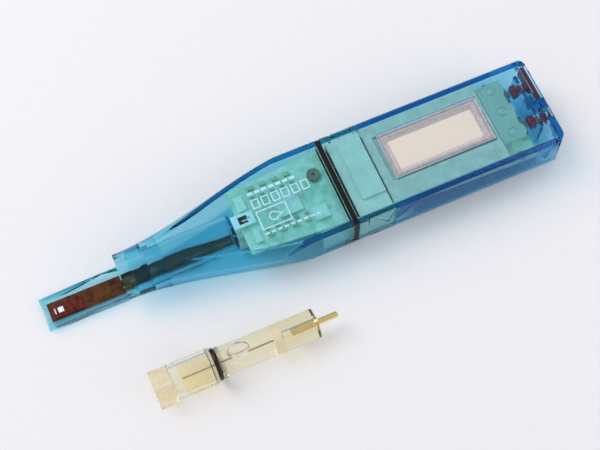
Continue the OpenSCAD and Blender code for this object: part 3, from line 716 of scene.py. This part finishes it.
# the points are (x, radius) in mm
outside = [
    (barrel_low.x, 0), (barrel_low.x, front_r - 0.2), (barrel_low.x + 0.2, front_r),
    (groove_0 - 1.1, front_r), (groove_0 - 0.9, front_r + 0.15), (groove_0 - 0.2, front_r + 0.15),
    (groove_0, front_r - 0.1), (groove_0, groove_r), (groove_1, groove_r), (groove_1, barrel_r + 0.05),
    (groove_1 + 0.3, barrel_r + 0.3), (groove_1 + 1.2, barrel_r + 0.3), (groove_1 + 1.5, barrel_r),
    (barrel_high.x - 0.4, barrel_r), (barrel_high.x, barrel_r - 0.4), (barrel_high.x, shank_r),
    (plug_high.x + 0.6, shank_r), (plug_high.x, 0),
]
outside = [(x, min(r, front_r)) for x, r in outside]
chamber = [(barrel_low.x + 0.02, 0), (barrel_low.x + 0.02, chamber_r), (groove_0 - 1.2, chamber_r),
           (groove_0 - 0.9, chamber_r - 0.3), (groove_0 - 0.9, 0)]
bore = [(liquid_low.x, 0), (liquid_low.x, bore_r), (plug_high.x - 0.02, bore_r), (plug_high.x - 0.02, 0)]


def turned_piece(name, profiles, material, node, steps=72):
    """Turned solids as one piece; every profile after the first is a cavity, with its faces turned in."""
    bm = turned(profiles[0], axis_y, axis_z, steps)
    for profile in profiles[1:]:
        cavity = turned(profile, axis_y, axis_z, steps)
        bmesh.ops.reverse_faces(cavity, faces=cavity.faces)
        mesh = bpy.data.meshes.new("cavity")
        cavity.to_mesh(mesh)
        cavity.free()
        bm.from_mesh(mesh)
        bpy.data.meshes.remove(mesh)
    piece = place(name, bm, material, node)
    print(name, len(piece.data.polygons), "faces")
    return piece


turned_piece("turned_barrel", [outside, chamber, bore], barrel_acrylic, "cartridge_barrel")

# %% [markdown]
# ## Cartridge: liquid and bubble
#
# The liquid fills the bore, and an air bubble has risen to its top. The liquid
# laps its container by a hair, because a liquid wets the wall: a film of air
# there would mirror the room and hide what is behind. The bubble is a sphere
# pulled long, with its faces turned in, so it is a hollow in the liquid. The
# silver wire simply runs through the liquid, which has no channel for it.

# %% Cartridge: liquid and bubble
# salt solution: as clear as water
wet_r = bore_r + LAP
liquid = clear_plastic("reference_liquid", "FCFAEE", 8.0, (0.0, 0.02), 1.33, 6.0, 0.01, 1.0)
bm = turned([(liquid_low.x - LAP, 0), (liquid_low.x - LAP, wet_r), (plug_low.x, wet_r), (plug_low.x, 0)],
            axis_y, axis_z)
BUBBLE_LENGTH = 7.6
bubble_r = bore_r / 2
bubble_x = liquid_low.x + 2.2
bubble = bmesh.ops.create_uvsphere(bm, u_segments=48, v_segments=24, radius=1)["verts"]
bmesh.ops.scale(bm, verts=bubble, vec=(BUBBLE_LENGTH / 2 * MM, bubble_r * MM, bubble_r * MM))
bmesh.ops.translate(bm, verts=bubble, vec=(
    (bubble_x + BUBBLE_LENGTH / 2) * MM, (axis_y + 0.45 * bubble_r) * MM, (axis_z + 0.85 * bubble_r) * MM))
bmesh.ops.reverse_faces(bm, faces=list({f for v in bubble for f in v.link_faces}))
bubbly = place("wetting_liquid", bm, liquid, "electrolyte")
print(bubbly.name, len(bubbly.data.polygons), "faces")

# %% [markdown]
# ## Cartridge: plug and O-ring
#
# The cream plug closes the bore, and is a short turned slug. The O-ring seals
# the cartridge in the sleeve: a small circle, spun once round the axis.

# %% Cartridge: plug and O-ring
# silicone: soft and milky, with a wide dull highlight
plug_cream = clear_plastic("cream_plug_silicone", "F4EBCB", 3.0, (0.3, 0.45), 1.4, 2.0, 0.05,
                           0.4, "F8F0D8")
turned_piece("turned_plug", [[
    (plug_low.x + 0.01, 0), (plug_low.x + 0.01, wet_r), (plug_high.x - LAP, wet_r), (plug_high.x - LAP, 0),
]], plug_cream, "inner_plug")

# rubber: black, with a thin highlight round its section
ring_rubber = grained("black_o_ring_rubber", "060304", "180A0C", (0.22, 0.4), 0.8, 0.1, 0.1,
                      Specular_IOR_Level=0.4)
bm = bmesh.new()
circle = bmesh.ops.create_circle(bm, segments=32, radius=ring_section * MM)["verts"]
bmesh.ops.rotate(bm, verts=circle, cent=(0, 0, 0), matrix=Matrix.Rotation(math.radians(90), 3, "X"))
bmesh.ops.translate(bm, verts=circle, vec=(ring_x * MM, axis_y * MM, (axis_z + groove_r + ring_section) * MM))
bmesh.ops.spin(bm, geom=circle + list(bm.edges), cent=(0, axis_y * MM, axis_z * MM), axis=(1, 0, 0),
               angle=2 * math.pi, steps=96, use_merge=True)
bmesh.ops.remove_doubles(bm, verts=bm.verts, dist=0.001 * MM)
bmesh.ops.recalc_face_normals(bm, faces=bm.faces)
ring = place("spun_o_ring", bm, ring_rubber, "cartridge_o_ring")
print(ring.name, len(ring.data.polygons), "faces")

# %% [markdown]
# ## Cartridge: pin
#
# The contact pin is turned brass with a gold plating. It has a wide shank held
# in the barrel, a narrow waist, a short collar at the barrel's end, and a thin
# end with a rounded tip that slides into the contact sleeve.

# %% Cartridge: pin
# gold plating: the highlight takes the colour of the metal
pin_r = shank_r - 0.3
step_x = barrel_high.x + 0.6
pin_gold = plated("gold_plated_brass", "F0D07C", "FFEEAC", (0.08, 0.2))
turned_piece("turned_pin", [[
    (pin_low.x, 0), (pin_low.x, shank_r - 0.25), (pin_low.x + 0.25, shank_r - 0.02),
    (barrel_high.x - 0.9, shank_r - 0.02), (barrel_high.x - 0.8, shank_r - 0.3),
    (barrel_high.x - 0.3, shank_r - 0.3), (barrel_high.x - 0.2, shank_r - 0.02), (step_x, shank_r - 0.02),
    (step_x, pin_r), (pin_high.x - 0.5, pin_r), (pin_high.x - 0.15, pin_r - 0.3), (pin_high.x, 0),
]], pin_gold, "contact_pin", 48)

# %% [markdown]
# ## Gel
#
# The gel fills the lower part of the front chamber, as a liquid would in a
# cartridge that lies down. It is a turned slug, cut by a level plane and closed
# again by filling the cut edge.

# %% Gel
# salt gel: cloudy and pale, and wet like a jelly
gel_jelly = clear_plastic("pale_salt_gel", "FAF3DA", 5.0, (0.1, 0.3), 1.36, 2.0, 0.3, 0.8, "FCF8E0")
bm = turned([(gel_low.x, 0), (gel_low.x, chamber_r + LAP), (gel_high.x, chamber_r + LAP), (gel_high.x, 0)],
            axis_y, axis_z)
cut = bmesh.ops.bisect_plane(bm, geom=list(bm.verts) + list(bm.edges) + list(bm.faces), dist=1e-7,
                             plane_co=(0, 0, gel_high.z * MM), plane_no=(0, 0, 1), clear_outer=True)
rim = [g for g in cut["geom_cut"] if isinstance(g, bmesh.types.BMEdge)]
bmesh.ops.edgeloop_fill(bm, edges=rim)
bmesh.ops.recalc_face_normals(bm, faces=bm.faces)
gel = place("settled_gel", bm, gel_jelly, "salt_gel")
print(gel.name, len(gel.data.polygons), "faces")

# %% [markdown]
# ## Finishes for the CAD parts that stay
#
# Small parts behind the clear case keep their CAD shape, because only their
# colour and gloss can be seen. Each one is named for its real material: resin
# for the chips, laminate for the boards, film for the ribbon, nickel and gold
# for the contacts. The ink marks are opaque and nearly matt, so they stay
# readable against the shine of the case. A material goes into the slots of
# the CAD object, which itself is neither moved nor reshaped.

# %% Finishes
finishes = {
    # ink: opaque and matt on the glossy case
    "printed_marks": grained("pale_ink", "A8DCE2", "C4ECF0", (0.5, 0.6), 1.0),
    # silicon and glass: small bright mirrors on the dark strip
    "isfet_chip": grained("sensor_silicon", "E0E0E8", "FAFAFF", (0.1, 0.2), 0.4),
    "temperature_chip": grained("thermistor_glass", "D0D0D8", "F0F0F8", (0.1, 0.2), 0.4),
    # dark film: almost no highlight
    "sensor_flex": grained("ribbon_film", "0A0604", "1E1410", (0.3, 0.5), 1.0, Specular_IOR_Level=0.2),
    # moulded resin and glazed ceramic: pale greens with a soft gloss
    "board_chips": grained("pale_chip_resin", "D8E4D4", "ECF4E6"),
    "board_capacitors": grained("capacitor_ceramic", "A8B49A", "BCC8AE"),
    "board_resistors": grained("resistor_glaze", "86A090", "9CB4A4"),
    "buzzer": grained("sounder_resin", "6A6A54", "86826A"),
    # spring metal, plated: fine streaks
    "battery_contact_minus": plated("contact_nickel_low", "B8B4A8", "CCC8BC"),
    "battery_contact_plus": plated("contact_nickel_high", "B8B4A8", "CCC8BC"),
    "board_header": plated("header_gold", "C79A3E", "E0B860"),
    # display glass: even and pale, with a smooth face
    "lcd_panel": grained("display_glass", "E2D8CC", "EEE4D8", (0.25, 0.35), 0.5, 0.02, 0.02),
    # rubber, laminate and moulded plastic round the display: satin and dim
    "contact_strips": grained("contact_rubber", "303034", "404044"),
    "display_board": grained("display_laminate", "9CC0A8", "B4D4BE", (0.35, 0.5), 2.5),
    "header_socket": grained("socket_black", "161616", "242424"),
    "tact_switches": grained("switch_body_plastic", "5A5A5C", "707072"),
    # steel: grey streaked metal
    "board_screws": plated("screw_steel", "A8A8AC", "C0C0C4"),
    # fired ceramic: chalky white
    "junction_plug": grained("porous_ceramic", "ECE8DC", "F8F4EA", (0.8, 0.95), 0.3),
    # silver with a chloride skin: dull and a little purple
    "silver_wire": grained("silver_chloride_wire", "8A6468", "A88488", (0.3, 0.45), 0.4, Metallic=0.3),
}
for name, material in finishes.items():
    for s in nodes[name].material_slots:
        s.material = material
print("finished nodes:", len(finishes), "of", len(nodes))
